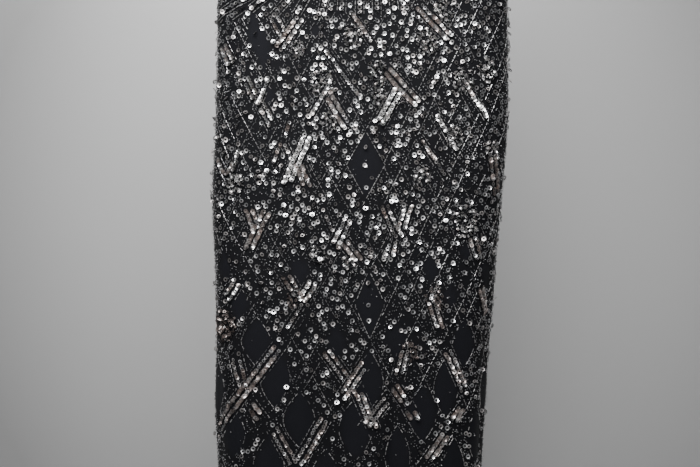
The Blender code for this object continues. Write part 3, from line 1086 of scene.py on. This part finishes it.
# %% [markdown]
# ## Sewing the beads on
# A point is made for every bead of a kind, with its turn, size and tone kept as attributes.
# Geometry Nodes puts the bead's shape on every point and makes the copies real, so thousands of
# beads become one mesh. The tone stays on it, and the material reads it later.

# %% The sewing tree
def add_node(tree, kind, **settings):
    node = tree.nodes.new(kind)
    for name, value in settings.items():
        setattr(node, name, value)
    return node


def named_attribute(tree, name, kind):
    node = add_node(tree, "GeometryNodeInputNamedAttribute", data_type=kind)
    node.inputs["Name"].default_value = name
    return node.outputs["Attribute"]


def sewing_tree(shape):
    tree = bpy.data.node_groups.new("Sew on " + shape.name, "GeometryNodeTree")
    for way in ("INPUT", "OUTPUT"):
        tree.interface.new_socket("Geometry", in_out=way, socket_type="NodeSocketGeometry")
    points = add_node(tree, "NodeGroupInput")
    copies = add_node(tree, "GeometryNodeInstanceOnPoints")
    source = add_node(tree, "GeometryNodeObjectInfo")
    source.inputs["Object"].default_value = shape
    rotation = add_node(tree, "FunctionNodeEulerToRotation")
    real = add_node(tree, "GeometryNodeRealizeInstances")
    result = add_node(tree, "NodeGroupOutput")
    for start, end in (
        (points.outputs[0], copies.inputs["Points"]),
        (source.outputs["Geometry"], copies.inputs["Instance"]),
        (named_attribute(tree, "turn", "FLOAT_VECTOR"), rotation.inputs[0]),
        (rotation.outputs[0], copies.inputs["Rotation"]),
        (named_attribute(tree, "size", "FLOAT"), copies.inputs["Scale"]),
        (copies.outputs[0], real.inputs[0]),
        (real.outputs[0], result.inputs[0]),
    ):
        tree.links.new(start, end)
    return tree


trees = {kind: sewing_tree(shape) for kind, shape in shapes.items()}

# %% Sew each kind on
def turned(first, second, angle):
    """Two directions at right angles, with the first turned towards the second."""
    cosine, sine = np.cos(angle)[:, None], np.sin(angle)[:, None]
    return first * cosine + second * sine, second * cosine - first * sine


def bead_turns(beads, across, up, out):
    """Euler angles that lay each bead on the cloth, turned and tipped as charted."""
    right, ahead = turned(across, up, -beads["spin"])
    front, rise = turned(ahead, out, np.radians(beads["pitch"]))
    rise, side = turned(rise, right, np.radians(beads["roll"]))
    around_y = np.arcsin(np.clip(-side[:, 2], -1, 1))
    return np.stack([np.arctan2(front[:, 2], rise[:, 2]), around_y, np.arctan2(side[:, 1], side[:, 0])], 1)


def sew(panel, kind):
    values = np.array(charts[panel].beads[kind], float)
    beads = {name: values[:, i] for i, name in enumerate(Bead._fields)}
    point, across, up, out = maps[panel].place(beads["offset"], beads["level"])
    if panel == "back":
        across = -across
        beads["spin"] = -beads["spin"]
    name = panel + "_" + kind
    cloud = bpy.data.meshes.new(name + "_points")
    cloud.vertices.add(len(values))
    cloud.vertices.foreach_set("co", (point + out * beads["lift"][:, None]).astype(np.float32).ravel())
    turn = cloud.attributes.new("turn", "FLOAT_VECTOR", "POINT")
    turn.data.foreach_set("vector", bead_turns(beads, across, up, out).astype(np.float32).ravel())
    for label in ("size", "tone"):
        column = cloud.attributes.new(label, "FLOAT", "POINT")
        column.data.foreach_set("value", beads[label].astype(np.float32))
    holder = linked_object("holder", cloud)
    holder.modifiers.new("Sewing", "NODES").node_group = trees[kind]
    graph = bpy.context.evaluated_depsgraph_get()
    data = bpy.data.meshes.new_from_object(holder.evaluated_get(graph))
    data.name = name
    bpy.data.objects.remove(holder)
    for label in ("turn", "size"):
        if label in data.attributes:
            data.attributes.remove(data.attributes[label])
    return linked_object(name, data)


beadwork = {panel: {kind: sew(panel, kind) for kind in shapes} for panel in FACING}
total = 0
for kinds in beadwork.values():
    for sewn in kinds.values():
        sewn.data.calc_loop_triangles()
        total += len(sewn.data.loop_triangles)
        print(sewn.name, "triangles:", len(sewn.data.loop_triangles))
print("bead triangles in all:", total)

# %% [markdown]
# ## Materials
# Sequins are thin plastic with a metal coat, so they are metallic with a tone of their own:
# bright silver, warm taupe or nearly dark. The full tone at the tip of some strips is a painted
# highlight, and the darker tone of crooked sequins low down is painted shade. A shared group turns
# the tone into a colour and a roughness. The cloth is a fine black plain weave: another group turns
# the flat cloth's own UV map into over and under threads, darker under the beadwork, partly for
# black thread and partly as painted shade of the beads.

# %% Helpers for shader trees
def math_node(tree, operation, first, second=None):
    node = add_node(tree, "ShaderNodeMath", operation=operation)
    for socket, value in zip(node.inputs, (first, second)):
        if isinstance(value, (int, float)):
            socket.default_value = value
        elif value is not None:
            tree.links.new(value, socket)
    return node.outputs[0]


def mix_values(tree, kind, share, first, second):
    node = add_node(tree, "ShaderNodeMix", data_type=kind)
    for label, value in zip(("Factor", "A", "B"), (share, first, second)):
        tree.links.new(value, node.inputs[label])
    return node.outputs["Result"]


def map_range(tree, value, low, high, to_low, to_high):
    node = add_node(tree, "ShaderNodeMapRange")
    tree.links.new(value, node.inputs["Value"])
    for name, number in zip(("From Min", "From Max", "To Min", "To Max"), (low, high, to_low, to_high)):
        node.inputs[name].default_value = number
    return node.outputs["Result"]


def attribute_value(tree, name):
    node = add_node(tree, "ShaderNodeAttribute", attribute_type="GEOMETRY", attribute_name=name)
    return node.outputs["Fac"]


def plain_colour(tree, colour, share=1.0):
    node = add_node(tree, "ShaderNodeRGB")
    node.outputs[0].default_value = (*(share * part for part in colour), 1.0)
    return node.outputs[0]


def new_group(name, inputs, outputs):
    tree = bpy.data.node_groups.new(name, "ShaderNodeTree")
    for label, kind, value in inputs:
        socket = tree.interface.new_socket(label, in_out="INPUT", socket_type="NodeSocket" + kind)
        socket.default_value = value
    for label, kind in outputs:
        tree.interface.new_socket(label, in_out="OUTPUT", socket_type="NodeSocket" + kind)
    return tree, tree.nodes.new("NodeGroupInput").outputs, tree.nodes.new("NodeGroupOutput").inputs


# %% The shared groups
WEAR_SCALE = 900.0
WEAR_STRENGTH = 0.16


def bead_finish_group():
    """Colour and roughness of a bead from its own tone, with a little fine wear."""
    inputs = [
        ("Dim", "Color", (0.10, 0.10, 0.11, 1.0)),
        ("Warm", "Color", (0.55, 0.47, 0.44, 1.0)),
        ("Bright", "Color", (0.88, 0.88, 0.88, 1.0)),
        ("Dim Roughness", "Float", 0.45),
        ("Bright Roughness", "Float", 0.22),
    ]
    tree, given, result = new_group("Bead finish", inputs, [("Color", "Color"), ("Roughness", "Float")])
    wear = add_node(tree, "ShaderNodeTexNoise")
    wear.inputs["Scale"].default_value = WEAR_SCALE
    tree.links.new(add_node(tree, "ShaderNodeTexCoord").outputs["Object"], wear.inputs["Vector"])
    worn = math_node(tree, "MULTIPLY_ADD", wear.outputs["Fac"], WEAR_STRENGTH)
    worn.node.inputs[2].default_value = -0.5 * WEAR_STRENGTH
    tone = math_node(tree, "ADD", attribute_value(tree, "tone"), worn)
    lower = map_range(tree, tone, 0.0, 0.5, 0.0, 1.0)
    upper = map_range(tree, tone, 0.5, 0.9, 0.0, 1.0)
    colour = mix_values(tree, "RGBA", lower, given["Dim"], given["Warm"])
    colour = mix_values(tree, "RGBA", upper, colour, given["Bright"])
    tree.links.new(colour, result["Color"])
    polish = map_range(tree, tone, 0.0, 1.0, 0.0, 1.0)
    rough = mix_values(tree, "FLOAT", polish, given["Dim Roughness"], given["Bright Roughness"])
    tree.links.new(rough, result["Roughness"])
    return tree


def weave_group():
    """Over and under threads of a plain weave, from the flat cloth's UV map in metres."""
    inputs = [("Threads per Metre", "Float", 1600.0)]
    tree, given, result = new_group("Plain weave", inputs, [("Height", "Float"), ("Mask", "Float")])
    split = add_node(tree, "ShaderNodeSeparateXYZ")
    tree.links.new(add_node(tree, "ShaderNodeUVMap", uv_map="grain").outputs["UV"], split.inputs[0])
    waves = []
    for axis in ("X", "Y"):
        turns = math_node(tree, "MULTIPLY", split.outputs[axis], given["Threads per Metre"])
        waves.append(math_node(tree, "SINE", math_node(tree, "MULTIPLY", turns, math.pi)))
    weave = math_node(tree, "MULTIPLY", *waves)
    tree.links.new(map_range(tree, weave, -1.0, 1.0, 0.0, 1.0), result["Height"])
    tree.links.new(map_range(tree, weave, -0.4, 0.4, 0.0, 1.0), result["Mask"])
    return tree


bead_finish = bead_finish_group()
plain_weave = weave_group()

# %% The bead materials
def new_material(name, **sockets):
    material = bpy.data.materials.new(name)
    material.use_nodes = True
    shader = material.node_tree.nodes["Principled BSDF"]
    for label, value in sockets.items():
        shader.inputs[label.replace("_", " ")].default_value = value
    return material, material.node_tree, shader


def bead_material(name, colours, roughness, **sockets):
    material, tree, shader = new_material(name, **sockets)
    group = add_node(tree, "ShaderNodeGroup", node_tree=bead_finish)
    for label, colour in zip(("Dim", "Warm", "Bright"), colours):
        group.inputs[label].default_value = (*colour, 1.0)
    group.inputs["Dim Roughness"].default_value = roughness[0]
    group.inputs["Bright Roughness"].default_value = roughness[1]
    tree.links.new(group.outputs["Color"], shader.inputs["Base Color"])
    tree.links.new(group.outputs["Roughness"], shader.inputs["Roughness"])
    return material


SILVER = ((0.20, 0.20, 0.21), (0.60, 0.565, 0.55), (0.94, 0.94, 0.95))
TAUPE = ((0.21, 0.20, 0.20), (0.58, 0.495, 0.462), (0.94, 0.935, 0.93))
GLASS = ((0.12, 0.12, 0.13), (0.40, 0.39, 0.39), (0.78, 0.78, 0.78))
SEEDS = ((0.06, 0.06, 0.063), (0.32, 0.32, 0.33), (0.75, 0.75, 0.76))
DARK = ((0.006, 0.006, 0.007), (0.03, 0.03, 0.033), (0.15, 0.15, 0.16))
bead_materials = {
    "ring_sequins": bead_material("ring_sequins", SILVER, (0.42, 0.24), Metallic=1.0),
    "strip_sequins": bead_material("strip_sequins", TAUPE, (0.50, 0.26), Metallic=1.0),
    "bugle_beads": bead_material("bugle_beads", GLASS, (0.42, 0.32), Metallic=0.55, Coat_Weight=0.2),
    "seed_beads": bead_material("seed_beads", SEEDS, (0.45, 0.30), Metallic=0.35, Coat_Weight=0.3),
    "ring_knots": bead_material("ring_knots", DARK, (0.60, 0.50), Specular_IOR_Level=0.2),
}
print("bead materials:", len(bead_materials))

# %% The cloth material
CLOTH_BLACK = (0.0022, 0.0023, 0.0033)
SEWN_AND_SHADED_THREAD = (0.0068, 0.0070, 0.0098)
BARE_THREAD = (0.0120, 0.0126, 0.0185)


def cloth_material(name):
    material, tree, shader = new_material(
        name, Roughness=0.80, Sheen_Weight=0.04, Sheen_Roughness=0.45, Specular_IOR_Level=0.22
    )
    weave = add_node(tree, "ShaderNodeGroup", node_tree=plain_weave)
    sewn, bare = plain_colour(tree, SEWN_AND_SHADED_THREAD), plain_colour(tree, BARE_THREAD)
    # Threads under the beadwork are darker than bare ones: partly black thread, partly painted shade of the
    # beads.
    thread = mix_values(tree, "RGBA", attribute_value(tree, "bare"), sewn, bare)
    black = plain_colour(tree, CLOTH_BLACK)
    colour = mix_values(tree, "RGBA", weave.outputs["Mask"], black, thread)
    tree.links.new(colour, shader.inputs["Base Color"])
    bump = add_node(tree, "ShaderNodeBump")
    bump.inputs["Strength"].default_value = 0.35
    bump.inputs["Distance"].default_value = 0.0002
    tree.links.new(weave.outputs["Height"], bump.inputs["Height"])
    tree.links.new(bump.outputs["Normal"], shader.inputs["Normal"])
    return material


# %% Dress the pieces and hang them in the frame
for panel, shell in shells.items():
    slot_name = panel + "_cloth"
    shell.data.materials.append(cloth_material(slot_name))
    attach(shell, "root")
    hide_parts(panel + "_panel")
    for kind, sewn in beadwork[panel].items():
        sewn.data.materials.clear()
        sewn.data.materials.append(bead_materials[kind])
        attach(sewn, "root")

# %% [markdown]
# ## The studio
# A plain pale wall and floor with soft light, and a camera where the photographer stood: level
# with the middle of the skirt and straight in front. The wall hides itself from behind, so that
# the back of the dress can be looked at too.

# %% Wall and floor
WALL_DISTANCE = 0.480
FLOOR_LEVEL = -1.420
WALL_SIZE = (7.0, 5.0)
FLOOR_SIZE = (7.0, 7.0)
WALL_GREY = 0.415
# The wall's paint holds a painted pool of light: full grey round the middle, and painted shade down to this
# share of it further out.
WALL_PAINTED_SHADE_SHARE = 0.58
FLOOR_GREY = 0.68
PAINTED_LIGHT_CENTRE = (0.055, WALL_DISTANCE, -0.76)
PAINTED_LIGHT_REACH = (0.16, 0.66)
PAINTED_LIGHT_POWER = 2.1


def plain_plane(name, size, place, turn):
    mesh = bmesh.new()
    bmesh.ops.create_grid(mesh, x_segments=1, y_segments=1, size=0.5)
    bmesh.ops.scale(mesh, vec=(*size, 1.0), verts=mesh.verts)
    upright = Matrix.Rotation(math.radians(turn), 3, "X")
    bmesh.ops.rotate(mesh, verts=mesh.verts, cent=(0, 0, 0), matrix=upright)
    bmesh.ops.translate(mesh, vec=place, verts=mesh.verts)
    plane = linked_object(name, finished_mesh(name, mesh))
    return plane


def paint_with_painted_light(name, grey, painted_shade_share, see_through_from_behind):
    """Matt paint with a painted pool of light: full tone in the middle, a share of it further out."""
    material, tree, shader = new_material(name, Roughness=0.9)
    reach = add_node(tree, "ShaderNodeVectorMath", operation="DISTANCE")
    tree.links.new(add_node(tree, "ShaderNodeTexCoord").outputs["Object"], reach.inputs[0])
    reach.inputs[1].default_value = PAINTED_LIGHT_CENTRE
    painted_falloff = map_range(tree, reach.outputs["Value"], *PAINTED_LIGHT_REACH, 0.0, 1.0)
    painted_falloff = math_node(tree, "POWER", painted_falloff, PAINTED_LIGHT_POWER)
    light, dark = (plain_colour(tree, (grey, grey, grey), share) for share in (1.0, painted_shade_share))
    tree.links.new(mix_values(tree, "RGBA", painted_falloff, light, dark), shader.inputs["Base Color"])
    if see_through_from_behind:
        clear = add_node(tree, "ShaderNodeBsdfTransparent")
        choose = add_node(tree, "ShaderNodeMixShader")
        behind = add_node(tree, "ShaderNodeNewGeometry").outputs["Backfacing"]
        for socket, value in zip(choose.inputs, (behind, shader.outputs[0], clear.outputs[0])):
            tree.links.new(value, socket)
        tree.links.new(choose.outputs[0], tree.nodes["Material Output"].inputs["Surface"])
    return material


wall = plain_plane("wall", WALL_SIZE, (0.0, WALL_DISTANCE, FLOOR_LEVEL + WALL_SIZE[1] / 2), 90)
wall.data.materials.append(paint_with_painted_light("wall_paint_and_painted_light", WALL_GREY, WALL_PAINTED_SHADE_SHARE, True))
floor = plain_plane("floor", FLOOR_SIZE, (0.0, WALL_DISTANCE - FLOOR_SIZE[1] / 2, FLOOR_LEVEL), 0)
floor.data.materials.append(paint_with_painted_light("floor_paint", FLOOR_GREY, 1.0, False))
print("wall and floor in place, the floor at", FLOOR_LEVEL)

# %% Light
def soft_light(name, place, aim, size, watts, spread):
    data = bpy.data.lights.new(name, "AREA")
    data.shape = "RECTANGLE"
    data.size, data.size_y = size
    data.energy = watts
    data.spread = math.radians(spread)
    lamp = linked_object(name, data)
    lamp.location = place
    lamp.rotation_euler = (Vector(aim) - Vector(place)).to_track_quat("-Z", "Y").to_euler()


KEY = {"place": (-0.25, -1.15, 0.50), "aim": (-0.05, 0.30, -0.42), "size": (1.4, 0.9)}
FRONT = {"place": (0.0, -3.20, -0.45), "aim": (0.0, 0.0, -0.60), "size": (2.2, 1.6)}
BACKDROP = {"place": (-0.12, 0.20, 0.10), "aim": (-0.12, 0.48, -0.50), "size": (0.4, 0.12)}
soft_light("key_light", **KEY, watts=13.2, spread=80.0)
soft_light("front_light", **FRONT, watts=9.0, spread=180.0)
soft_light("backdrop_light", **BACKDROP, watts=12.0, spread=180.0)

# %% [markdown]
# ## The room round the studio
# What lights the dress from all sides and what the camera sees past the wall need not be the same
# grey. A Light Path node gives the camera a pale backdrop and leaves the fill light weak.

# %% The room's own light
FILL_STRENGTH = 0.13
world = bpy.data.worlds.new("room")
world.use_nodes = True
room = world.node_tree
fill = room.nodes["Background"]
fill.inputs["Color"].default_value = (0.80, 0.81, 0.83, 1.0)
fill.inputs["Strength"].default_value = FILL_STRENGTH
backdrop = add_node(room, "ShaderNodeBackground")
backdrop.inputs["Color"].default_value = (0.50, 0.50, 0.51, 1.0)
seen = add_node(room, "ShaderNodeMixShader")
by_camera = add_node(room, "ShaderNodeLightPath").outputs["Is Camera Ray"]
for socket, value in zip(seen.inputs, (by_camera, fill.outputs[0], backdrop.outputs[0])):
    room.links.new(value, socket)
room.links.new(seen.outputs[0], room.nodes["World Output"].inputs["Surface"])
bpy.context.scene.world = world

# %% Camera
camera_data = bpy.data.cameras.new("camera")
camera_data.lens = 90.5
camera_data.sensor_width = 36.0
camera_data.dof.use_dof = False
camera = linked_object("camera", camera_data)
camera.location = (-0.0156, -2.2, -0.746)
camera.rotation_euler = (math.radians(90.0), 0.0, 0.0)
bpy.context.scene.camera = camera
